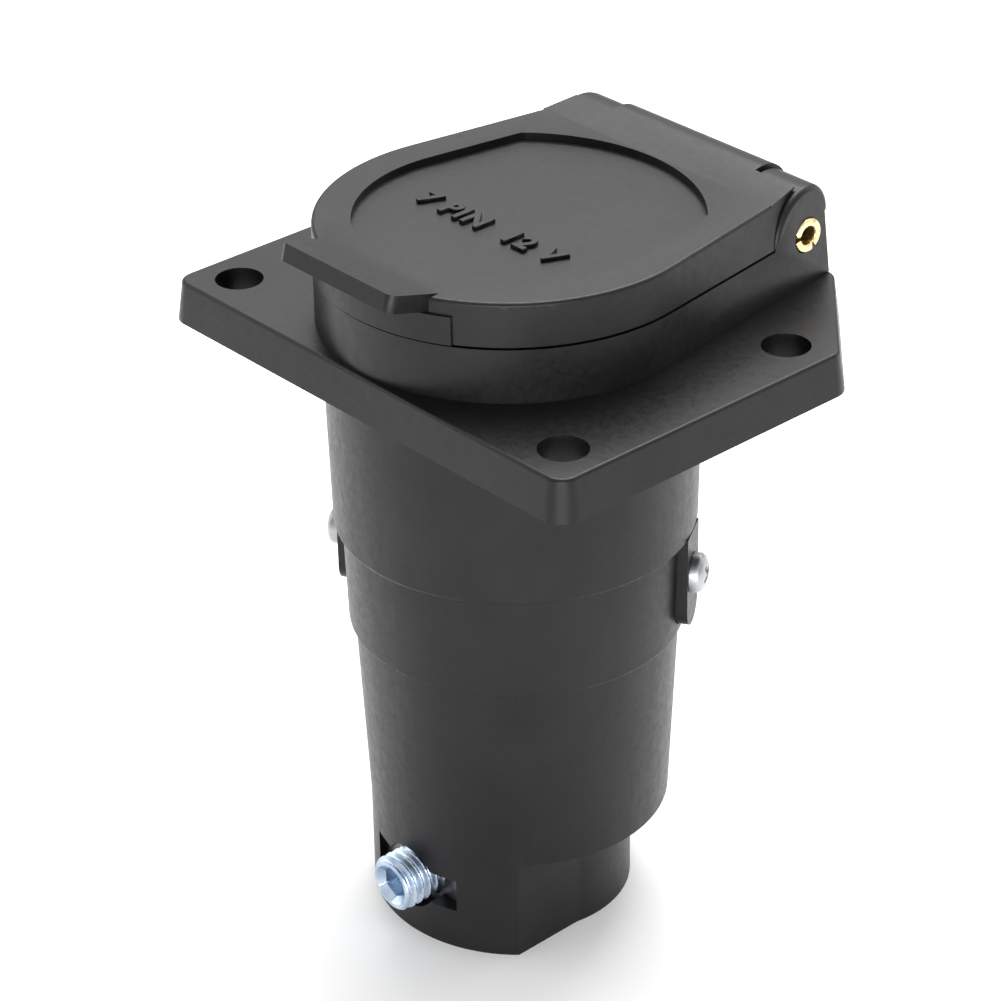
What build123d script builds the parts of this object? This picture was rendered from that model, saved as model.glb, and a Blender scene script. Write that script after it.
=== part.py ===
from build123d import *
from math import acos, atan, atan2, cos, degrees, radians, sin, sqrt
import os

# Seven-way trailer wiring connector: a flanged socket with a sprung lid, screwed to a panel.
# +Z points out of the socket towards the lid, +Y towards the hinge, +X along the hinge pin.
# z = 0 is the flange's mounting face. The origin is the centre of the four mounting holes.
# Every piece is modelled about the barrel's axis, and save() moves it to the origin above.

# Flange
hole_spacing_x = 62.0
hole_spacing_y = 38.0
hole_radius = 3.2
holes_to_axis = 1.0          # the barrel's axis lies this far behind the holes' centre
flange_half_width = 37.8
flange_front = 26.8
flange_back = 38.0
flange_corner_cut = 16.2
flange_thickness = 5.6
flange_draft = 0.8
flange_corner_radius = 3.2
edge_round = 0.5
step_round = 0.4             # lower edges of the barrel's steps
run_out = 1.0                # that a cut or a joined solid runs on past a face

# Collar and plug bore
collar_radius = 25.3
collar_height = 7.3
collar_taper = 7.8           # degrees that each side leans in towards the hinge
plug_bore_radius = 21.0
plug_depth = 24.3
key_width = 6.4
key_depth = 1.3

# Barrel
barrel_top_radius = 24.6
barrel_end_radius = 24.1
barrel_length = 24.1
spigot_wall = 2.4
fit_gap = 0.1                # between moulded pieces that plug together
face_gap = 0.05              # between faces that are clamped together

# Tongues and the two side screws that hold the rear shell
tongue_angle = 32.0          # degrees from +X, and opposite
tongue_width = 6.0
tongue_face = 24.15          # distance of the flat outer face from the axis
tongue_seat = 22.2
tongue_length = 13.8
tongue_rise = 0.45
side_screw_drop = 6.0        # below the barrel's end
side_shank_radius = 1.7
side_shank_length = 5.6
side_head_radius = 2.7
side_head_height = 2.0
side_head_round = 0.9
side_recess_depth = 1.2
side_recess_length = 3.0
side_recess_width = 0.8
screw_gap = 0.06

# Rear shell
mid_top_radius = 23.0
mid_end_radius = 22.6
mid_length = 15.0
lower_top_radius = 21.84
lower_end_radius = 20.57
lower_length = 28.2
shell_inner_radius = 19.6
lower_wall = 2.5
shell_floor = 2.5

# Neck and cable clamp
neck_radius = 15.4
neck_length = 15.1
cable_bore_radius = 12.4
block_half_width = 15.05
clamp_screw_rise = 8.6       # above the neck's end
clamp_screw_radius = 4.0
clamp_screw_length = 11.3
clamp_thread_pitch = 1.25
clamp_thread_depth = 0.7
clamp_recess_radius = 1.9
clamp_recess_depth = 3.0
window_half_width = 8.0
window_height = 5.0
clearance_hole_gap = 0.7     # round the clamp screw
nut_half_width = 8.8
nut_rim = 1.2                # above and below the clamp screw
nut_thickness = 2.9
nut_face = 17.55             # distance of the nut plate's outer face from the axis
clamp_pocket_gap = 0.2
saddle_half_width = 7.5
saddle_gap = 2.0             # between the open saddle and the pocket's wall
saddle_thickness = 2.5
saddle_rib = 0.8
saddle_rib_width = 1.2

# Hinge
pin_y = 31.8                 # behind the barrel's axis
pin_above_flange = 7.2
pin_radius = 2.4
pin_bore = 1.3
pin_slit = 0.8
pin_proud = 0.35
ear_hole_gap = 0.03
hinge_gap = 0.07
knuckle_half_width = 13.25
knuckle_side_gap = 0.5
knuckle_radius = 4.4
ridge_rise = 2.8             # height of the ridge's arc centre above the pin
ridge_back = 0.1
ear_radius = 6.7             # of the ears' front about the pin
ear_arc_radius = 4.6         # of the ears' back
ear_foot_back = 5.3
pocket_wall = 2.6
sweep_gap = 0.25
ridge_run = 6.9              # length over which the lid slopes up to its knuckle
lip_front = 1.6              # from the pin forward to where the lid's back edge ends
knuckle_foot_angle = 40.0    # below the pin, where the knuckle's front starts

# Lid
lid_gap = 0.3
lid_height = 5.9
lid_radius = 25.2
lid_taper = 10.0
lid_skirt = 2.2
lid_plate = 3.0
recess_radius = 20.2
recess_back_radius = 24.7
recess_depth = 1.0
tab_half_width = 10.5
tab_root = 21.3
tab_reach = 7.3
tab_lift = 2.1
tab_thickness = 2.3
tab_corner_radius = 1.2
tab_bury = 3.0
pad_half_width = 13.2
pad_rise = 0.35
pad_height = 3.8
catch_half_width = 4.5
catch_gap = 1.1              # inside the plug bore
catch_thickness = 1.6
catch_drop = 1.5

# Lid seal
seal_bore_gap = 0.3          # outside the plug bore
seal_skirt_gap = 0.3         # inside the lid's skirt

# Lid spring
wire_radius = 0.5
spring_gap = 0.1
spring_turns = 8
spring_pocket_half_width = 6.0
spring_pocket_gap = 0.3
spring_leg_gap = 0.3
lid_leg_length = 3.2

# Contact carrier and contacts
carrier_gap = 0.2
carrier_thickness = 8.0
barrier_length = 11.0
barrier_radius = 16.5
barrier_thickness = 1.6
hub_radius = 6.6
blade_count = 6
blade_circle = 13.2
blade_width = 6.4
blade_thickness = 1.6
contact_height = 14.0
slot_gap = 0.05
terminal_depth = 5.0
terminal_height = 8.5
terminal_gap = 1.1
terminal_shift = 0.8         # that the terminal block stands out past its blade's middle
wire_hole_radius = 1.7
wire_hole_depth = 7.0
centre_pin_radius = 2.4
centre_tail_radius = 4.0
centre_tail_length = 10.5
terminal_shank_radius = 1.4
terminal_head_radius = 2.5
terminal_head_height = 1.6
terminal_slot_width = 0.6
terminal_slot_depth = 0.7
terminal_screw_drop = 3.5    # below the terminal block's top

# Heights and places that follow from the sizes above
far = 100.0                  # longer than the connector, for cuts that run right through
rim_z = flange_thickness + collar_height
carrier_z = rim_z - plug_depth
barrel_z = -barrel_length
spigot_bore_radius = barrel_end_radius - spigot_wall
mid_end_z = barrel_z - mid_length
floor_z = mid_end_z - lower_length
neck_end_z = floor_z - neck_length
lid_z = rim_z + lid_gap
lid_top_z = lid_z + lid_height
pin_z = flange_thickness + pin_above_flange
ridge_z = pin_z + ridge_rise
ridge_y = pin_y + ridge_back
ear_arc_z = pin_z + ear_radius - ear_arc_radius
sweep_radius = ear_radius + sweep_gap
ear_inner_x = knuckle_half_width + knuckle_side_gap
ear_outer_x = (collar_radius - pin_y * sin(radians(collar_taper))) / cos(radians(collar_taper))
pocket_front = plug_bore_radius + pocket_wall
side_screw_z = barrel_z - side_screw_drop
clamp_z = neck_end_z + clamp_screw_rise
nut_inner = nut_face - nut_thickness
nut_height = 2 * (clamp_screw_radius + nut_rim)
clearance_hole_radius = clamp_screw_radius + clearance_hole_gap
saddle_face = nut_inner - clamp_pocket_gap - saddle_gap
clamp_tip = saddle_face + face_gap
coil_radius = pin_radius + spring_gap + wire_radius
carrier_radius = spigot_bore_radius - carrier_gap
carrier_end_z = carrier_z - face_gap - carrier_thickness
contact_top_z = carrier_z + contact_height
terminal_top_z = carrier_end_z - terminal_gap
terminal_outer = blade_circle + terminal_depth / 2 + terminal_shift
terminal_screw_z = terminal_top_z - terminal_screw_drop
spigot_top_z = carrier_end_z - face_gap
catch_front = plug_bore_radius - catch_gap
seal_inner_radius = plug_bore_radius + seal_bore_gap
seal_outer_radius = lid_radius - lid_skirt - seal_skirt_gap
blade_angles = [360.0 / blade_count * index for index in range(blade_count)]
centre_screw_angle = 90.0

UP = (Align.CENTER, Align.CENTER, Align.MIN)


def save(name, shape):
    """Move a piece from the barrel's axis to the holes' centre and write it to its own file."""
    export_step(Pos(0, holes_to_axis, 0) * shape, f"parts/{name}.step")


def rod(radius, start, end):
    """A cylinder on the Z axis between two heights."""
    return Pos(0, 0, min(start, end)) * Cylinder(radius, abs(end - start), align=UP)


def taper_rod(top_radius, end_radius, top, end):
    """A cone on the Z axis, wide end given first."""
    return Pos(0, 0, end) * Cone(end_radius, top_radius, top - end, align=UP)


def block(x_low, x_high, y_low, y_high, z_low, z_high):
    """A box between two corners."""
    centre = ((x_low + x_high) / 2, (y_low + y_high) / 2, (z_low + z_high) / 2)
    return Pos(*centre) * Box(x_high - x_low, y_high - y_low, z_high - z_low)


def cross_rod(radius, half_length, y, z):
    """A cylinder along X, centred on x = 0."""
    return Pos(0, y, z) * Rot(0, 90, 0) * Cylinder(radius, 2 * half_length)


def out_rod(radius, start, end, angle, z):
    """A cylinder that runs outwards from the axis between two distances, at an angle and a height."""
    return Rot(0, 0, angle) * Pos(start, 0, z) * Rot(0, 90, 0) * Cylinder(radius, end - start, align=UP)


def drop_face(radius, taper, back):
    """A circle with two tangent sides that close in towards a straight back edge."""
    lean = radians(taper)
    touch_x, touch_y = radius * cos(lean), radius * sin(lean)
    back_x = (radius - back * sin(lean)) / cos(lean)
    tail = Polyline((touch_x, touch_y), (back_x, back), (-back_x, back), (-touch_x, touch_y), close=True)
    return Circle(radius) + make_face(tail)


def side_profile(points, half_width):
    """A closed outline of (y, z) points, given thickness along X to both sides."""
    outline = Polyline(*[(0, y, z) for y, z in points], close=True)
    return extrude(make_face(outline), amount=half_width, dir=(1, 0, 0), both=True)


def tongue_solid(gap, inner, outer, top, angle):
    """A tongue with a round lower end, between two distances from the axis."""
    half = tongue_width / 2 + gap
    end = barrel_z - tongue_length - gap
    strip = Pos(0, (top + end + half) / 2) * Rectangle(2 * half, top - end - half)
    strip += Pos(0, end + half) * Circle(half)
    plane = Plane(origin=(inner, 0, 0), x_dir=(0, 1, 0), z_dir=(1, 0, 0))
    return Rot(0, 0, angle) * extrude(plane * strip, amount=outer - inner)


def make_housing():
    """Front housing: flange, collar with plug bore, hinge ears and upper barrel, in one moulding."""
    cut = flange_corner_cut
    outline = Polyline(
        (-flange_half_width, -flange_front), (flange_half_width, -flange_front),
        (flange_half_width, flange_back - cut), (flange_half_width - cut, flange_back),
        (cut - flange_half_width, flange_back), (-flange_half_width, flange_back - cut), close=True)
    plate = make_face(outline)
    plate = fillet(plate.vertices(), flange_corner_radius)
    plate = extrude(plate, amount=flange_thickness, taper=degrees(atan(flange_draft / flange_thickness)))
    plate = fillet(plate.faces().sort_by(Axis.Z)[-1].edges(), edge_round)

    collar = side_profile([
        (-collar_radius, flange_thickness), (pin_y, flange_thickness),
        (pin_y, rim_z), (-collar_radius, rim_z)], collar_radius)
    ear_back = side_profile([
        (pin_y, flange_thickness), (pin_y + ear_foot_back, flange_thickness),
        (pin_y + ear_arc_radius, ear_arc_z), (pin_y, ear_arc_z)], collar_radius)
    ear_front = cross_rod(ear_radius, collar_radius, pin_y, pin_z)
    ear_front &= block(-far, far, 0, pin_y, pin_z, far)
    ear_foot = side_profile([
        (pin_y - ear_radius, pin_z), (pin_y, pin_z),
        (pin_y, flange_thickness), (pin_y - ear_radius, flange_thickness)], collar_radius)
    ears = ear_back + ear_front + ear_foot + cross_rod(ear_arc_radius, collar_radius, pin_y, ear_arc_z)
    blank = Pos(0, 0, flange_thickness) * extrude(
        drop_face(collar_radius, collar_taper, flange_back), amount=lid_top_z)
    knuckle_room = block(-ear_inner_x, ear_inner_x, pocket_front, far, flange_thickness, far)
    top = (blank & (collar + ears)) - knuckle_room

    barrel = taper_rod(barrel_top_radius, barrel_end_radius, 0, barrel_z)
    barrel = fillet(barrel.edges().sort_by(Axis.Z)[0], step_round)
    body = plate + top + barrel
    for angle in (tongue_angle, tongue_angle + 180):
        body += tongue_solid(0, tongue_seat, tongue_face, barrel_z + tongue_rise, angle)

    body -= rod(plug_bore_radius, carrier_z, far)
    body -= rod(spigot_bore_radius, barrel_z, carrier_z)
    body -= block(-key_width / 2, key_width / 2, 0, plug_bore_radius + key_depth, carrier_z, far)
    for x in (-hole_spacing_x / 2, hole_spacing_x / 2):
        for y in (-hole_spacing_y / 2, hole_spacing_y / 2):
            body -= Pos(x, y - holes_to_axis, 0) * Cylinder(hole_radius, far)
    body -= cross_rod(pin_radius + ear_hole_gap, far, pin_y, pin_z)
    for angle in (tongue_angle, tongue_angle + 180):
        body -= out_rod(side_shank_radius + screw_gap, 0, far, angle, side_screw_z)
    return body


def make_rear_shell():
    """Rear shell: spigot, stepped barrel, clamp block and cable neck, in one moulding."""
    body = rod(spigot_bore_radius - fit_gap, mid_end_z, spigot_top_z)
    middle = taper_rod(mid_top_radius, mid_end_radius, barrel_z - face_gap, mid_end_z)
    body += fillet(middle.edges().sort_by(Axis.Z)[0], step_round)
    lower = taper_rod(lower_top_radius, lower_end_radius, mid_end_z + step_round, floor_z)
    body += lower
    body += rod(neck_radius, floor_z, neck_end_z)
    body += rod(lower_end_radius, floor_z, neck_end_z) & block(
        -block_half_width, block_half_width, -far, 0, neck_end_z, floor_z)

    body -= rod(shell_inner_radius, mid_end_z, far)
    body -= taper_rod(
        lower_top_radius - lower_wall, lower_end_radius - lower_wall, mid_end_z, floor_z + shell_floor)
    body -= rod(cable_bore_radius, neck_end_z, floor_z + shell_floor)

    half_height = nut_height / 2 + clamp_pocket_gap
    half_width = nut_half_width + clamp_pocket_gap
    body -= block(
        -half_width, half_width, -nut_face - face_gap, 0, clamp_z - half_height, clamp_z + half_height)
    body -= block(
        -window_half_width, window_half_width, -far, -nut_face,
        clamp_z - window_height / 2, clamp_z + window_height / 2)
    body -= out_rod(clearance_hole_radius, nut_face, far, -90, clamp_z)
    for angle in (tongue_angle, tongue_angle + 180):
        body -= tongue_solid(fit_gap, tongue_seat - face_gap, far, barrel_z + face_gap, angle)
        body -= out_rod(side_shank_radius + screw_gap, 0, far, angle, side_screw_z)
    return body


def make_lid():
    """Lid: top plate with a recess, skirt, lift tab, catch and hinge knuckle, in one moulding."""
    low, high = drop_face(lid_radius, collar_taper, pin_y), drop_face(lid_radius, lid_taper, pin_y)
    body = loft([Pos(0, 0, lid_z) * low, Pos(0, 0, lid_top_z) * high])
    body = fillet(body.faces().sort_by(Axis.Z)[-1].edges(), edge_round)

    foot = radians(knuckle_foot_angle)
    ramp_y, rise = ridge_y - ridge_run, lid_top_z - ridge_z
    touch = atan2(rise, -ridge_run) - acos(knuckle_radius / sqrt(ridge_run ** 2 + rise ** 2))
    touch_y, touch_z = ridge_y + knuckle_radius * cos(touch), ridge_z + knuckle_radius * sin(touch)
    ramp_foot = lid_top_z - edge_round
    ramp = side_profile([
        (ramp_y, ramp_foot), (ramp_y, lid_top_z), (touch_y, touch_z), (touch_y, ramp_foot)], lid_radius)
    body += ramp & (Pos(0, 0, ramp_foot) * extrude(high, amount=lid_height))
    body -= cross_rod(sweep_radius, far, pin_y, pin_z)
    for low_x, high_x in ((-far, -knuckle_half_width), (knuckle_half_width, far)):
        body -= block(low_x, high_x, pin_y - lip_front, far, lid_z, far)
    knuckle = side_profile([
        (pocket_front + run_out, lid_z), (pocket_front + run_out, lid_top_z), (ramp_y, lid_top_z),
        (touch_y, touch_z), (ridge_y + knuckle_radius, ridge_z), (pin_y + knuckle_radius, pin_z),
        (pin_y, pin_z - knuckle_radius),
        (pin_y - knuckle_radius * cos(foot), pin_z - knuckle_radius * sin(foot))], knuckle_half_width)
    knuckle += cross_rod(knuckle_radius, knuckle_half_width, ridge_y, ridge_z)
    knuckle += cross_rod(knuckle_radius, knuckle_half_width, pin_y, pin_z)
    body += knuckle

    recess = drop_face(recess_radius, lid_taper, recess_back_radius) & Circle(recess_back_radius)
    body -= Pos(0, 0, lid_top_z - recess_depth) * extrude(recess, amount=lid_height)

    slope = tab_lift / tab_reach
    length = sqrt(1 + slope * slope)
    tip_y, tip_z = -tab_root - tab_reach, lid_top_z + tab_lift
    low_y, low_z = tip_y - tab_thickness * slope / length, tip_z - tab_thickness / length
    tab = side_profile([
        (-tab_root, lid_top_z), (tip_y, tip_z), (low_y, low_z),
        (-tab_root, low_z - slope * (tab_reach + tab_thickness * slope)),
        (-tab_root + tab_bury, lid_top_z - recess_depth - run_out)], tab_half_width)
    front_edges = tab.edges().filter_by(lambda edge: edge.center().Y < -tab_root - tab_reach
                                        and abs(edge.center().X) > tab_half_width - 0.01)
    tab = fillet(front_edges, tab_corner_radius)
    tab -= rod(recess_radius, lid_z, far)
    tab -= rod(lid_radius - lid_skirt, lid_z, lid_top_z - lid_plate)
    body += tab

    pad = rod(lid_radius + pad_rise, lid_z, lid_z + pad_height) & block(
        -pad_half_width, pad_half_width, -far, 0, lid_z, lid_top_z)
    body += pad - rod(lid_radius - run_out, lid_z, far)

    body -= rod(lid_radius - lid_skirt, lid_z, lid_top_z - lid_plate)
    body += block(
        -catch_half_width, catch_half_width, -catch_front, catch_thickness - catch_front,
        rim_z - catch_drop, lid_top_z - lid_plate)

    pocket = spring_pocket_half_width
    room = coil_radius + wire_radius + spring_pocket_gap
    body -= cross_rod(room, pocket, pin_y, pin_z)
    body -= block(
        -pocket, pocket, pin_y - room, pin_y + room, flange_thickness, pin_z)
    leg_y, leg_room = pin_y + coil_radius, 2 * wire_radius
    body -= block(
        0, pocket, leg_y - leg_room, leg_y + leg_room, pin_z, pin_z + lid_leg_length + spring_leg_gap)
    body -= cross_rod(pin_radius + hinge_gap, far, pin_y, pin_z)
    return body


def make_seal():
    """Lid seal: a flat rubber ring in the lid that shuts down on the collar's rim."""
    return rod(seal_outer_radius, lid_z, lid_top_z - lid_plate) - rod(seal_inner_radius, lid_z, far)


def make_hinge_pin():
    """Hinge pin: a rolled brass tube with a slit along its length."""
    half = ear_outer_x + pin_proud
    tube = cross_rod(pin_radius, half, pin_y, pin_z) - cross_rod(pin_bore, far, pin_y, pin_z)
    return tube - block(
        -far, far, pin_y - 2 * pin_radius, pin_y, pin_z - pin_slit / 2, pin_z + pin_slit / 2)


def make_lid_spring():
    """Lid spring: close-wound coils about the pin, with one leg to the flange and one to the lid."""
    pitch = 2 * (spring_pocket_half_width - 4 * wire_radius) / spring_turns
    start = -pitch * spring_turns / 2
    coils = None
    for turn in range(spring_turns + 1):
        ring = Pos(start + turn * pitch, pin_y, pin_z) * Rot(0, 90, 0) * Torus(coil_radius, wire_radius)
        coils = ring if coils is None else coils + ring
    core = cross_rod(coil_radius + wire_radius / 2, -start, pin_y, pin_z)
    core -= cross_rod(coil_radius - wire_radius / 2, far, pin_y, pin_z)
    flange_leg_end = flange_thickness + spring_leg_gap
    flange_leg = Pos(start, pin_y - coil_radius, flange_leg_end) * Cylinder(
        wire_radius, pin_z - flange_leg_end, align=UP)
    lid_leg = Pos(-start, pin_y + coil_radius, pin_z) * Cylinder(
        wire_radius, lid_leg_length, align=UP)
    return coils + core + flange_leg + lid_leg


def make_side_screw(angle):
    """Side screw: pan head on the tongue, shank through the tongue and the rear shell."""
    head_end = tongue_face + side_head_height
    head = out_rod(side_head_radius, tongue_face + face_gap, head_end, angle, side_screw_z)
    outer = head.edges().sort_by(lambda edge: edge.center().X * cos(radians(angle))
                                 + edge.center().Y * sin(radians(angle)))[-1]
    head = fillet(outer, side_head_round)
    for turn in (0, 90):
        bar = Box(2 * side_recess_depth, side_recess_length, side_recess_width)
        head -= Rot(0, 0, angle) * Pos(head_end, 0, side_screw_z) * Rot(turn, 0, 0) * bar
    shank = out_rod(
        side_shank_radius, tongue_face - side_shank_length, tongue_face + 2 * face_gap, angle, side_screw_z)
    return head + shank


def make_carrier():
    """Contact carrier: insulating disc with slots for the contacts and barriers between the terminals."""
    body = rod(carrier_radius, carrier_z - face_gap, carrier_end_z)
    body += rod(hub_radius, carrier_end_z, carrier_end_z - barrier_length + run_out)
    for angle in blade_angles:
        middle = angle + 180.0 / blade_count
        if abs(middle - centre_screw_angle) > 1:
            body += Rot(0, 0, middle) * block(
                0, barrier_radius, -barrier_thickness / 2, barrier_thickness / 2,
                carrier_end_z - barrier_length, carrier_end_z)
    for angle in blade_angles:
        body -= Rot(0, 0, angle) * block(
            blade_circle - blade_thickness / 2 - slot_gap, blade_circle + blade_thickness / 2 + slot_gap,
            -blade_width / 2 - slot_gap, blade_width / 2 + slot_gap, -far, far)
    body -= rod(centre_pin_radius + slot_gap, -far, far)
    body -= rod(centre_tail_radius + slot_gap, terminal_top_z + slot_gap, -far)
    body -= out_rod(terminal_shank_radius + screw_gap, 0, far, centre_screw_angle, terminal_screw_z) & rod(
        hub_radius, -far, carrier_end_z)
    return body


def make_blade(angle):
    """Blade contact: flat blade in the socket, through the carrier to its own screw terminal."""
    half = blade_thickness / 2
    blade = block(
        blade_circle - half, blade_circle + half, -blade_width / 2, blade_width / 2,
        terminal_top_z, contact_top_z)
    tip = blade.faces().sort_by(Axis.Z)[-1].edges()
    blade = chamfer(tip, blade_thickness / 4)
    body = blade + block(
        blade_circle - terminal_depth / 2, terminal_outer, -blade_width / 2, blade_width / 2,
        terminal_top_z - terminal_height, terminal_top_z)
    wire_end = terminal_top_z - terminal_height
    body -= Pos(blade_circle, 0, 0) * rod(wire_hole_radius, wire_end, wire_end + wire_hole_depth)
    body -= out_rod(
        terminal_shank_radius + screw_gap, blade_circle, far, 0, terminal_screw_z)
    return Rot(0, 0, angle) * body


def make_centre_contact():
    """Centre contact: round pin in the socket with a wider tail that takes the wire."""
    pin = rod(centre_pin_radius, terminal_top_z, contact_top_z)
    pin = fillet(pin.edges().sort_by(Axis.Z)[-1], centre_pin_radius / 3)
    body = pin + rod(centre_tail_radius, terminal_top_z, terminal_top_z - centre_tail_length)
    wire_end = terminal_top_z - centre_tail_length
    body -= rod(wire_hole_radius, wire_end, wire_end + wire_hole_depth + run_out)
    body -= out_rod(terminal_shank_radius + screw_gap, 0, far, centre_screw_angle, terminal_screw_z)
    return body


def make_terminal_screw(angle, seat, reach):
    """Terminal screw: slotted cheese head on a plain shank that clamps the wire."""
    head_end = seat + terminal_head_height
    screw = out_rod(terminal_head_radius, seat + face_gap, head_end, angle, terminal_screw_z)
    screw += out_rod(terminal_shank_radius, seat - reach, seat + 2 * face_gap, angle, terminal_screw_z)
    slot = Box(2 * terminal_slot_depth, 3 * terminal_head_radius, terminal_slot_width)
    return screw - Rot(0, 0, angle) * Pos(head_end, 0, terminal_screw_z) * slot


def make_nut_plate():
    """Nut plate: threaded steel plate behind the block's window that the clamp screw turns in."""
    plate = block(
        -nut_half_width, nut_half_width, -nut_face, -nut_inner,
        clamp_z - nut_height / 2, clamp_z + nut_height / 2)
    return plate - out_rod(clamp_screw_radius + screw_gap, 0, far, -90, clamp_z)


def make_clamp_screw():
    """Clamp screw: headless screw with a hex recess, drawn with rings for its thread."""
    body = out_rod(clamp_screw_radius, clamp_tip, clamp_tip + clamp_screw_length, -90, clamp_z)
    groove_count = int((clamp_screw_length - clamp_thread_pitch) / clamp_thread_pitch)
    half = clamp_thread_pitch / 4
    for index in range(groove_count):
        middle = clamp_tip + clamp_screw_length - clamp_thread_pitch * (index + 1)
        ring = out_rod(2 * clamp_screw_radius, middle - half, middle + half, -90, clamp_z)
        ring -= out_rod(clamp_screw_radius - clamp_thread_depth, 0, far, -90, clamp_z)
        body -= ring
    end = clamp_tip + clamp_screw_length
    plane = Plane(origin=(0, -end, clamp_z), x_dir=(1, 0, 0), z_dir=(0, 1, 0))
    return body - extrude(plane * RegularPolygon(clamp_recess_radius, 6), amount=clamp_recess_depth)


def make_saddle():
    """Clamp saddle: ribbed plate that the clamp screw presses on the cable."""
    half_height = nut_height / 2
    body = block(
        -saddle_half_width, saddle_half_width, -saddle_face, saddle_thickness - saddle_face,
        clamp_z - half_height, clamp_z + half_height)
    for step in (-1, 0, 1):
        middle = clamp_z + step * nut_height / 3
        body += block(
            -saddle_half_width, saddle_half_width, saddle_thickness - saddle_face,
            saddle_thickness + saddle_rib - saddle_face,
            middle - saddle_rib_width / 2, middle + saddle_rib_width / 2)
    return body


os.makedirs("parts", exist_ok=True)
save("housing", make_housing())
save("rear_shell", make_rear_shell())
save("lid", make_lid())
save("lid_seal", make_seal())
save("hinge_pin", make_hinge_pin())
save("lid_spring", make_lid_spring())
save("side_screw_right", make_side_screw(tongue_angle))
save("side_screw_left", make_side_screw(tongue_angle + 180))
save("contact_carrier", make_carrier())
terminal_reach = terminal_outer - blade_circle
for number, blade_angle in enumerate(blade_angles, start=1):
    save(f"blade_contact_{number}", make_blade(blade_angle))
    save(f"terminal_screw_{number}", make_terminal_screw(blade_angle, terminal_outer, terminal_reach))
save("centre_contact", make_centre_contact())
hub_reach = hub_radius - wire_hole_radius
save("terminal_screw_centre", make_terminal_screw(centre_screw_angle, hub_radius, hub_reach))
save("clamp_nut_plate", make_nut_plate())
save("clamp_screw", make_clamp_screw())
save("clamp_saddle", make_saddle())
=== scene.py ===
import bmesh
import bpy
import numpy as np
from mathutils import Matrix, Vector


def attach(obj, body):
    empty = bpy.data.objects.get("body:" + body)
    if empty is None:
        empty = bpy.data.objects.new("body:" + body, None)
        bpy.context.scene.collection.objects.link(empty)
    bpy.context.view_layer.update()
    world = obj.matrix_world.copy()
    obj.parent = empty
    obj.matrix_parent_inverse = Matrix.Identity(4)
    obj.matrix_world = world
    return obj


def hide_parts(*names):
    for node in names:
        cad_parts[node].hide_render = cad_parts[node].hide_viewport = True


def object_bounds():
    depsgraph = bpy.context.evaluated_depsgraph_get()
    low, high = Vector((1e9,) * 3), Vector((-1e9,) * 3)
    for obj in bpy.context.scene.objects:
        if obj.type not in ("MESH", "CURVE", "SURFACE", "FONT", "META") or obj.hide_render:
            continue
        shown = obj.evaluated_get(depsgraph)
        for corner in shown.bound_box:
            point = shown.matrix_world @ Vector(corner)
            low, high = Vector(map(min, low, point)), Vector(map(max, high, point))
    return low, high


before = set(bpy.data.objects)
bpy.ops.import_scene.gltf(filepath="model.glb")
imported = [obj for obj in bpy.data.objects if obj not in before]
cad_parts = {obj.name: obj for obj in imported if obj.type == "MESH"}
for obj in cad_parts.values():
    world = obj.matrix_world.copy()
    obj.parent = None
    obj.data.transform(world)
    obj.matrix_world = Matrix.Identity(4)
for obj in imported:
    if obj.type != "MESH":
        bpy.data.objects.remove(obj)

cad_low, cad_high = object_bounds()
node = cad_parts

# Front housing: flange, collar, plug bore, hinge ears and upper barrel.
# One injection moulding in black glass-filled nylon, spark-finished tool,
# bolted through its four flange holes to the trailer's panel.


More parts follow.
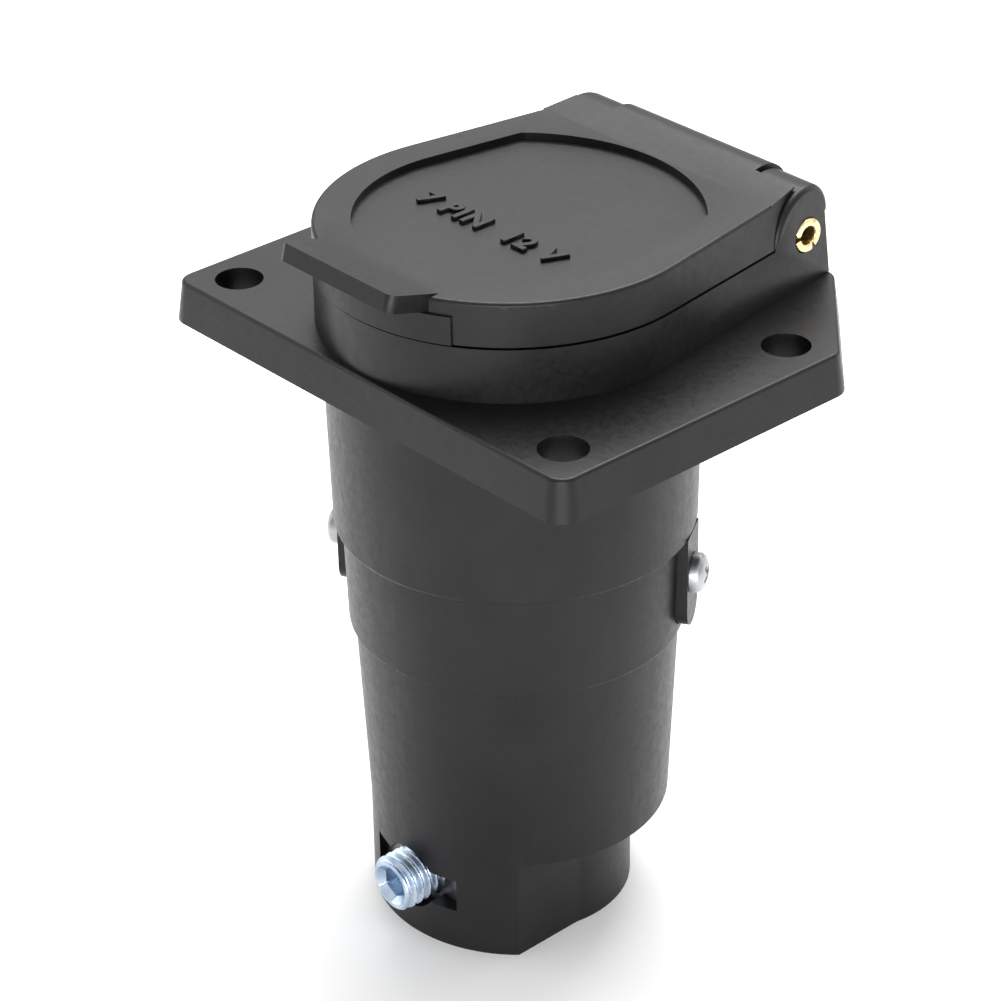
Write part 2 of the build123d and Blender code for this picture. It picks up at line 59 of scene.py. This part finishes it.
def moulded_plastic(name, dark, light, roughness, grain_depth):
    """Moulded nylon: the colour drifts between dark and light with a slow noise, the roughness
    follows a mid noise plus fine scuffs, and the bump adds tool grain to a shallow shrink ripple."""
    finish = bpy.data.materials.new(name)
    finish.use_nodes = True
    nodes, links = finish.node_tree.nodes, finish.node_tree.links
    shader = nodes["Principled BSDF"]
    shader.inputs["Specular IOR Level"].default_value = 0.31
    place = nodes.new("ShaderNodeTexCoord").outputs["Object"]

    drift = nodes.new("ShaderNodeTexNoise")
    drift.inputs["Scale"].default_value = 95.0
    drift.inputs["Detail"].default_value = 4.0
    tint = nodes.new("ShaderNodeValToRGB")
    tint.color_ramp.elements[0].position, tint.color_ramp.elements[1].position = 0.35, 0.68
    tint.color_ramp.elements[0].color = (*dark, 1)
    tint.color_ramp.elements[1].color = (*light, 1)

    patch = nodes.new("ShaderNodeTexNoise")
    patch.inputs["Scale"].default_value = 900.0
    patch.inputs["Detail"].default_value = 6.0
    patch.inputs["Roughness"].default_value = 0.65
    gloss = nodes.new("ShaderNodeMapRange")
    gloss.inputs["From Min"].default_value, gloss.inputs["From Max"].default_value = 0.3, 0.7
    gloss.inputs["To Min"].default_value = roughness - 0.07
    gloss.inputs["To Max"].default_value = roughness + 0.07

    grain = nodes.new("ShaderNodeTexNoise")
    grain.inputs["Scale"].default_value = 4200.0
    grain.inputs["Detail"].default_value = 3.0
    ripple = nodes.new("ShaderNodeTexNoise")
    ripple.inputs["Scale"].default_value = 480.0
    ripple.inputs["Detail"].default_value = 2.0
    fine = nodes.new("ShaderNodeBump")
    fine.inputs["Strength"].default_value = 0.35
    fine.inputs["Distance"].default_value = grain_depth
    broad = nodes.new("ShaderNodeBump")
    broad.inputs["Strength"].default_value = 0.3
    broad.inputs["Distance"].default_value = 3 * grain_depth

    for texture in (drift, patch, grain, ripple):
        links.new(place, texture.inputs["Vector"])
    links.new(drift.outputs["Fac"], tint.inputs["Fac"])
    links.new(tint.outputs["Color"], shader.inputs["Base Color"])
    links.new(patch.outputs["Fac"], gloss.inputs["Value"])
    links.new(gloss.outputs["Result"], shader.inputs["Roughness"])
    links.new(ripple.outputs["Fac"], broad.inputs["Height"])
    links.new(broad.outputs["Normal"], fine.inputs["Normal"])
    links.new(grain.outputs["Fac"], fine.inputs["Height"])
    links.new(fine.outputs["Normal"], shader.inputs["Normal"])
    return finish


def eased_moulding(piece_name, node_name, body, finish, corner):
    """A moulding with eased corners: the node's triangles are welded, triangles that lie in one
    plane become one face, and every edge that turns more than 50 degrees is rounded by corner."""
    welded = bmesh.new()
    welded.from_mesh(node[node_name].data)
    bmesh.ops.remove_doubles(welded, verts=welded.verts, dist=2e-6)
    bmesh.ops.dissolve_limit(welded, angle_limit=np.radians(0.6), verts=welded.verts, edges=welded.edges)
    mesh = bpy.data.meshes.new(piece_name)
    welded.to_mesh(mesh)
    welded.free()
    mesh.shade_smooth()
    mesh.materials.append(finish)
    piece = bpy.data.objects.new(piece_name, mesh)
    bpy.context.scene.collection.objects.link(piece)
    ease = piece.modifiers.new("eased_corners", "BEVEL")
    ease.width, ease.segments = corner, 3
    ease.limit_method, ease.angle_limit = "ANGLE", np.radians(50)
    ease.miter_outer = "MITER_ARC"
    level = piece.modifiers.new("level_faces", "WEIGHTED_NORMAL")
    level.keep_sharp, level.weight = True, 80
    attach(piece, body)
    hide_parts(node_name)
    return piece


black_nylon = moulded_plastic("black_nylon", (0.003, 0.003, 0.0036), (0.0062, 0.0062, 0.007), 0.4, 2.6e-5)
front_housing = eased_moulding("front_housing", "housing", "housing", black_nylon, 0.0003)

# The outline of each ear's outer face, above the collar and clear of the pin's
# hole, has a broader rounding than the rest. It goes on before the small one.
barrel_back = 0.001
pin_back, pin_height = 0.0328, 0.0128
ear_inside, collar_top, hole_clear = 0.0203, 0.0132, 0.005
points = np.empty(3 * len(front_housing.data.vertices))
front_housing.data.vertices.foreach_get("co", points)
across, back, height = points.reshape(-1, 3).T
on_ear = (np.abs(across) > ear_inside) & (height > collar_top)
on_ear &= np.hypot(back - pin_back, height - pin_height) > hole_clear
outline = front_housing.vertex_groups.new(name="ear_outline")
outline.add(np.flatnonzero(on_ear).tolist(), 1.0, "REPLACE")
ears = front_housing.modifiers.new("rounded_ears", "BEVEL")
ears.width, ears.segments = 0.0008, 4
ears.limit_method, ears.vertex_group = "VGROUP", "ear_outline"
ears.use_clamp_overlap = False
front_housing.modifiers.move(2, 0)

# Contact carrier: the disc that holds the seven contacts, with walls between
# their terminals. Moulded in a duller black insulating plastic and pushed up
# into the barrel against the step below the plug bore.
insulator = moulded_plastic("insulator_black", (0.012, 0.012, 0.012), (0.02, 0.02, 0.019), 0.55, 2.5e-5)
eased_moulding("contact_disc", "contact_carrier", "housing", insulator, 0.00015)

# Six blade contacts and the round centre contact.
# Cut and turned from brass, the blades with wire clamps below; each is pressed
# through its slot in the carrier and held there by its shoulder.


def brushed_metal(name, dull, bright, roughness, line_scale, stretch):
    """Worked metal: the colour moves between dull and bright with a noise, and the roughness and
    bump follow a second noise squeezed along one axis, which leaves fine tool lines."""
    finish = bpy.data.materials.new(name)
    finish.use_nodes = True
    nodes, links = finish.node_tree.nodes, finish.node_tree.links
    shader = nodes["Principled BSDF"]
    shader.inputs["Metallic"].default_value = 1.0
    place = nodes.new("ShaderNodeTexCoord").outputs["Object"]
    cloud = nodes.new("ShaderNodeTexNoise")
    cloud.inputs["Scale"].default_value = 380.0
    cloud.inputs["Detail"].default_value = 5.0
    tint = nodes.new("ShaderNodeValToRGB")
    tint.color_ramp.elements[0].position, tint.color_ramp.elements[1].position = 0.3, 0.7
    tint.color_ramp.elements[0].color = (*dull, 1)
    tint.color_ramp.elements[1].color = (*bright, 1)
    squeeze = nodes.new("ShaderNodeMapping")
    squeeze.inputs["Scale"].default_value = stretch
    lines = nodes.new("ShaderNodeTexNoise")
    lines.inputs["Scale"].default_value = line_scale
    lines.inputs["Detail"].default_value = 3.0
    gloss = nodes.new("ShaderNodeMapRange")
    gloss.inputs["To Min"].default_value = roughness - 0.1
    gloss.inputs["To Max"].default_value = roughness + 0.14
    score = nodes.new("ShaderNodeBump")
    score.inputs["Strength"].default_value = 0.2
    score.inputs["Distance"].default_value = 1.5e-5
    links.new(place, cloud.inputs["Vector"])
    links.new(place, squeeze.inputs["Vector"])
    links.new(squeeze.outputs["Vector"], lines.inputs["Vector"])
    links.new(cloud.outputs["Fac"], tint.inputs["Fac"])
    links.new(tint.outputs["Color"], shader.inputs["Base Color"])
    links.new(lines.outputs["Fac"], gloss.inputs["Value"])
    links.new(gloss.outputs["Result"], shader.inputs["Roughness"])
    links.new(lines.outputs["Fac"], score.inputs["Height"])
    links.new(score.outputs["Normal"], shader.inputs["Normal"])
    return finish


contact_brass = brushed_metal(
    "contact_brass", (0.58, 0.4, 0.16), (0.78, 0.57, 0.26), 0.32, 900.0, (1, 1, 0.08))
for contact in [f"blade_contact_{number}" for number in range(1, 7)] + ["centre_contact"]:
    node[contact].material_slots[0].material = contact_brass

# Seven terminal screws: slotted cheese heads that clamp the cable's cores.
# Turned steel with bright blue-white zinc plating, run into the sides of the
# contacts' terminal blocks.
zinc = brushed_metal("blue_white_zinc", (0.36, 0.47, 0.62), (0.68, 0.78, 0.9), 0.26, 700.0, (1, 0.3, 1))
for screw in [f"terminal_screw_{number}" for number in range(1, 7)] + ["terminal_screw_centre"]:
    node[screw].material_slots[0].material = zinc

# Rear shell: stepped barrel, clamp block and cable neck in the same nylon.
# One moulding whose spigot slides up inside the front housing's barrel and
# traps the contact carrier.
eased_moulding("rear_barrel", "rear_shell", "housing", black_nylon, 0.0003)

# Two side screws with cross recesses, through the housing's tongues.
# Cold-headed steel, zinc plated; they pull the rear shell's spigot tight and
# can be taken out to reach the terminals.


def welded_grid(name, grid, finish, body, replaced=()):
    """A closed piece from a grid of points, rows by columns by xyz, whose columns run round and
    close on themselves: each quad joins a point to the next in its row and in its column, and
    points that fall together at a pole or seam are merged before the faces are turned outwards."""
    rows, columns = grid.shape[:2]
    index = np.arange(rows * columns).reshape(rows, columns)
    following = np.roll(index, -1, axis=1)
    quads = np.stack([index[:-1], following[:-1], following[1:], index[1:]], axis=-1).reshape(-1, 4)
    mesh = bpy.data.meshes.new(name)
    mesh.from_pydata(grid.reshape(-1, 3), [], quads.tolist())
    shell = bmesh.new()
    shell.from_mesh(mesh)
    bmesh.ops.remove_doubles(shell, verts=shell.verts, dist=1e-7)
    bmesh.ops.recalc_face_normals(shell, faces=shell.faces)
    shell.to_mesh(mesh)
    shell.free()
    mesh.shade_smooth()
    mesh.set_sharp_from_angle(angle=np.radians(38))
    mesh.materials.append(finish)
    piece = bpy.data.objects.new(name, mesh)
    bpy.context.scene.collection.objects.link(piece)
    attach(piece, body)
    if replaced:
        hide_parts(*replaced)
    return piece


def pan_screw(name, replaced, angle):
    """Pan-head screw on a line out from the barrel's axis. Rows go from the recess's middle out
    over the dome, down the head's side and along the shank to its end. The dome is a flat
    ellipse; the recess takes away a depth that falls off outside a cross of two tapered bars."""
    tongue, reach, drop = 0.0242, 0.00195, -0.0301
    head, shank, tip = 0.0027, 0.0017, 0.0186
    turn = np.linspace(0, 2 * np.pi, 96, endpoint=False)[None, :]
    radius = (head * np.linspace(0, 1, 34) ** 0.9)[:, None]
    dome = tongue + reach * (0.42 + 0.58 * np.sqrt(np.clip(1 - (radius / head) ** 2.6, 0, 1)))
    along, across = np.abs(radius * np.cos(turn)), np.abs(radius * np.sin(turn))
    wide, long, slope = 0.00034, 0.0015, 0.00016
    bar = np.maximum(
        np.clip((wide - across) / slope, 0, 1) * np.clip((long - along) / slope / 2.5, 0, 1),
        np.clip((wide - along) / slope, 0, 1) * np.clip((long - across) / slope / 2.5, 0, 1))
    out = dome - 0.0009 * bar
    side = np.array([[head, tongue], [shank, tongue], [shank, tip + 0.0004], [0.0011, tip], [0, tip]])
    radius = np.concatenate([np.broadcast_to(radius, out.shape), np.broadcast_to(side[:, :1], (5, 96))])
    out = np.concatenate([out, np.broadcast_to(side[:, 1:], (5, 96))])
    sideways, up = radius * np.cos(turn + 0.5), radius * np.sin(turn + 0.5)
    a = np.radians(angle)
    grid = np.stack([
        out * np.cos(a) - sideways * np.sin(a),
        barrel_back + out * np.sin(a) + sideways * np.cos(a), drop + up], axis=-1)
    return welded_grid(name, grid, dull_zinc, "housing", [replaced])


dull_zinc = brushed_metal("dull_zinc", (0.3, 0.31, 0.32), (0.52, 0.53, 0.54), 0.36, 500.0, (1, 1, 1))
pan_screw("side_screw_near_hinge", "side_screw_right", 32.0)
pan_screw("side_screw_far_side", "side_screw_left", 212.0)

# Nut plate and clamp saddle: the threaded plate that sits in the block behind
# its window, and the ribbed plate that bears on the cable.
# Both pressed from steel strip; their dark colour is painted shade, standing in for the shade deep inside
# the block's window.
plate_painted_shade = brushed_metal(
    "steel_painted_shade", (0.1, 0.105, 0.11), (0.3, 0.31, 0.33), 0.38, 500.0, (0.15, 1, 1))
node["clamp_nut_plate"].material_slots[0].material = plate_painted_shade
node["clamp_saddle"].material_slots[0].material = plate_painted_shade

# Clamp screw: headless screw with a coarse rolled thread and a hex socket.
# Zinc-plated steel, screwed in through the nut plate until its tip pushes the
# saddle on to the cable.


def clamp_screw():
    """Threaded rod on a line along -Y. Each row is a ring at one distance along the rod. Its
    radius falls from the crest by a rounded groove whose phase is distance over pitch less turn
    over a full circle, held under a 45 degree chamfer at both ends; the last rings step in over a
    cone to a hexagon, go down it and meet on a shallow cone."""
    crest, groove, pitch, length = 0.004, 0.00078, 0.00125, 0.0113
    tip, drop = 0.0115, -0.0738
    turn = np.linspace(0, 2 * np.pi, 144, endpoint=False)[None, :]
    step = np.linspace(0, length, 200)[:, None]
    phase = step / pitch - turn / (2 * np.pi)
    cut = groove * (0.5 - 0.5 * np.cos(2 * np.pi * phase)) ** 0.6
    radius = np.minimum(crest - cut, crest - 0.0005 + np.minimum(step, length - step))
    corner = np.abs((turn + np.pi / 6) % (np.pi / 3) - np.pi / 6)
    socket = 0.0023 * np.cos(np.pi / 6) / np.cos(corner)
    ring = np.ones_like(turn)
    radius = np.concatenate([0 * ring, radius, 0.0029 * ring, socket, socket, 0 * ring])
    step = np.concatenate([[[0]], step, [[length], [length - 0.0009], [length - 0.0034], [length - 0.0042]]])
    out = tip + step * ring
    grid = np.stack([radius * np.cos(turn), -out, drop + radius * np.sin(turn)], axis=-1)
    return welded_grid("threaded_clamp_screw", grid, zinc, "clamp_screw", ["clamp_screw"])


clamp_screw()

# Lid: the sprung cover with its recessed panel, lift tab, pad and knuckle.
# Moulded in the housing's nylon and hung on the hinge pin.
eased_moulding("sprung_lid", "lid", "lid", black_nylon, 0.00028)

# Raised marking on the lid's panel: the number of poles and the voltage.
# Part of the lid's moulding, with soft corners and the lid's own finish.
marking = bpy.data.curves.new("marking", "FONT")
marking.body = "7 PIN  12 V"
marking.size, marking.extrude, marking.offset = 0.0044, 0.00025, 0.0001
marking.bevel_depth, marking.bevel_resolution, marking.resolution_u = 0.00008, 2, 4
marking.space_character = 1.2
marking.align_x, marking.align_y = "CENTER", "CENTER"
flat_text = bpy.data.objects.new("flat_text", marking)
bpy.context.scene.collection.objects.link(flat_text)
bpy.context.view_layer.update()
letters = bpy.data.meshes.new_from_object(flat_text.evaluated_get(bpy.context.evaluated_depsgraph_get()))
bpy.data.objects.remove(flat_text)
letters.transform(Matrix.Translation((0.0, -0.0028, 0.0183)))
letters.materials.clear()
letters.materials.append(black_nylon)
raised_letters = bpy.data.objects.new("raised_marking", letters)
bpy.context.scene.collection.objects.link(raised_letters)
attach(raised_letters, "lid")

# Lid seal: a soft ring in the lid that shuts down on the collar's rim.
# Moulded rubber with a rounded lip, pushed into the lid's skirt.


def lid_seal():
    """A ring whose section is a rounded block with a lip: the section's points go round an
    ellipse raised to a high power, which squares it, and its lower side bulges by a cosine; the
    section is carried round the barrel's axis."""
    low, high, inner, outer = 0.01322, 0.01608, 0.02132, 0.02268
    turn = np.linspace(0, 2 * np.pi, 192, endpoint=False)[:, None]
    part = np.linspace(0, 2 * np.pi, 40, endpoint=False)[None, :]
    across = np.sign(np.cos(part)) * np.abs(np.cos(part)) ** 0.4
    upward = np.sign(np.sin(part)) * np.abs(np.sin(part)) ** 0.5
    taper = 1 - 0.3 * np.clip(-upward, 0, 1)
    radius = (inner + outer) / 2 + (outer - inner) / 2 * across * taper + 0 * turn
    height = (low + high) / 2 + (high - low) / 2 * upward + 0 * turn
    grid = np.stack([radius * np.cos(turn), barrel_back + radius * np.sin(turn), height], axis=-1)
    grid = np.concatenate([grid, grid[:1]])
    return grid


seal_rubber = moulded_plastic("seal_rubber", (0.01, 0.01, 0.01), (0.022, 0.022, 0.021), 0.68, 1.5e-5)
welded_grid("seal_ring", lid_seal(), seal_rubber, "lid", ["lid_seal"])

# Lid spring: close-wound coils round the pin, one leg down to the flange and
# one up into the lid, which pull the lid shut.
# Cold-drawn spring wire, threaded on to the pin before it is driven home.


def wire(name, path, body, replaced=()):
    """Round wire along a path: at each point the wire's circle lies in the plane of two unit
    vectors square to the path, one of them the cross product of the path's direction with X.
    The first and last rings close to a point."""
    way = np.gradient(path, axis=0)
    way /= np.linalg.norm(way, axis=1, keepdims=True)
    side = np.cross(way, (1.0, 0.0, 0.0))
    side /= np.linalg.norm(side, axis=1, keepdims=True)
    other = np.cross(way, side)
    part = np.linspace(0, 2 * np.pi, 14, endpoint=False)[None, :, None]
    thick = np.full((len(path), 1, 1), 0.0005)
    thick[[0, -1]] = 0
    thick[[1, -2]] = 0.00035
    grid = path[:, None] + thick * (np.cos(part) * side[:, None] + np.sin(part) * other[:, None])
    return welded_grid(name, grid, spring_wire, body, replaced)


spring_wire = brushed_metal("spring_wire", (0.16, 0.16, 0.17), (0.42, 0.42, 0.43), 0.34, 800.0, (0.1, 1, 1))
wound = np.linspace(0, 16.5 * np.pi, 16 * 34)
coil_radius = 0.003
coil = np.stack([
    np.linspace(-0.004, 0.004, len(wound)),
    pin_back - coil_radius * np.cos(wound), pin_height + coil_radius * np.sin(wound)], axis=-1)
rise = np.linspace(0.0059, 0.0127, 12)
leg = np.stack([np.full(12, -0.004), np.full(12, 0.0298), rise], axis=-1)
wire("spring_coils", np.concatenate([leg, coil]), "housing", ["lid_spring"])
rise = np.linspace(0.0128, 0.016, 10)
wire("spring_lid_leg", np.stack([np.full(10, 0.004), np.full(10, 0.0358), rise], axis=-1), "lid")

# Hinge pin: a tube rolled from brass strip, with the strip's gap down one side.
# Driven through both ears and the lid's knuckle; its ends stand just proud and
# are nicked where they were staked.


def rolled_pin():
    """A strip rolled into a tube: its section, a rounded rectangle of wall by length, is carried
    round the pin's axis from one edge of the gap to the other. The strip's ends dip at two nicks
    by a narrow bell curve of the angle."""
    outer, bore, half = 0.00238, 0.0012, 0.02151
    gap = np.arcsin(0.0002 / bore)
    turn = np.linspace(np.pi + gap, 3 * np.pi - gap, 120)[:, None]
    part = np.linspace(0, 2 * np.pi, 48, endpoint=False)[None, :]
    across = np.sign(np.cos(part)) * np.abs(np.cos(part)) ** 0.22
    along = np.sign(np.sin(part)) * np.abs(np.sin(part)) ** 0.06
    nick = sum(np.exp(-((turn - np.radians(at)) / 0.09) ** 2) for at in (300.0, 422.0))
    edge = np.clip((turn - turn[0]) / 0.12, 0, 1) * np.clip((turn[-1] - turn) / 0.12, 0, 1)
    wall = (outer - bore) / 2 * (0.55 + 0.45 * np.sqrt(edge))
    radius = (outer + bore) / 2 + wall * across
    reach = (half - 0.00032 * nick) * along
    grid = np.stack([
        reach, pin_back + radius * np.cos(turn), pin_height + radius * np.sin(turn)], axis=-1)
    middle = grid.mean(axis=1, keepdims=True) + 0 * grid
    return np.concatenate([middle[:1], grid, middle[-1:]])


pin_brass = brushed_metal("pin_brass", (0.78, 0.6, 0.3), (0.95, 0.82, 0.52), 0.24, 900.0, (0.1, 1, 1))
welded_grid("rolled_hinge_pin", rolled_pin(), pin_brass, "housing", ["hinge_pin"])

# Studio: pale floor under the connector, a white surround and soft lamps, with
# the camera above the flange's front right corner.
floor_mesh = bpy.data.meshes.new("studio_floor")
floor_mesh.from_pydata(
    [(-3, -3, cad_low[2]), (3, -3, cad_low[2]), (3, 3, cad_low[2]), (-3, 3, cad_low[2])], [], [(0, 1, 2, 3)])
pale = bpy.data.materials.new("pale_floor")
pale.use_nodes = True
pale.node_tree.nodes["Principled BSDF"].inputs["Base Color"].default_value = (0.93, 0.93, 0.93, 1)
pale.node_tree.nodes["Principled BSDF"].inputs["Roughness"].default_value = 0.95
floor_mesh.materials.append(pale)
studio_floor = bpy.data.objects.new("studio_floor", floor_mesh)
bpy.context.scene.collection.objects.link(studio_floor)

surround = bpy.data.worlds.new("white_surround")
surround.use_nodes = True
surround.node_tree.nodes["Background"].inputs["Color"].default_value = (1, 1, 1, 1)
surround.node_tree.nodes["Background"].inputs["Strength"].default_value = 0.82
bpy.context.scene.world = surround


def soft_lamp(name, azimuth, elevation, distance, width, height, power):
    """A rectangular lamp on a sphere about the connector, turned to face its middle."""
    lamp = bpy.data.lights.new(name, "AREA")
    lamp.shape, lamp.size, lamp.size_y, lamp.energy = "RECTANGLE", width, height, power
    stand = bpy.data.objects.new(name, lamp)
    a, e = np.radians(azimuth), np.radians(elevation)
    outward = Vector((np.sin(a) * np.cos(e), -np.cos(a) * np.cos(e), np.sin(e)))
    stand.rotation_mode = "QUATERNION"
    stand.location = outward * distance + Vector((0, 0, -0.02))
    stand.rotation_quaternion = outward.to_track_quat("Z", "Y")
    bpy.context.scene.collection.objects.link(stand)


soft_lamp("overhead", 215, 60, 0.9, 0.7, 0.7, 11.0)
soft_lamp("left_strip", -62, 14, 0.8, 0.22, 1.1, 1.5)
soft_lamp("right_strip", 165, 16, 0.8, 0.22, 1.1, 1.2)
soft_lamp("low_front", 48, 4, 0.7, 0.6, 0.1, 3.0)

lens = bpy.data.cameras.new("camera")
lens.lens, lens.sensor_width = 118.6, 36.0
lens.shift_x, lens.shift_y = -0.015, 0.0005
camera = bpy.data.objects.new("camera", lens)
bpy.context.scene.collection.objects.link(camera)
azimuth, elevation, roll = np.radians((48.2, 30.43, -0.85))
outward = Vector((
    np.sin(azimuth) * np.cos(elevation), -np.cos(azimuth) * np.cos(elevation), np.sin(elevation)))
level_side = Vector((np.cos(azimuth), np.sin(azimuth), 0))
upright = outward.cross(level_side)
turned = Matrix((
    level_side * np.cos(roll) + upright * np.sin(roll),
    upright * np.cos(roll) - level_side * np.sin(roll), outward)).transposed().to_4x4()
aim, camera_distance = Vector((0, barrel_back, -0.0229)), 0.4359
camera.matrix_world = Matrix.Translation(aim + outward * camera_distance) @ turned
bpy.context.scene.camera = camera
bpy.context.scene.view_settings.view_transform = "Standard"
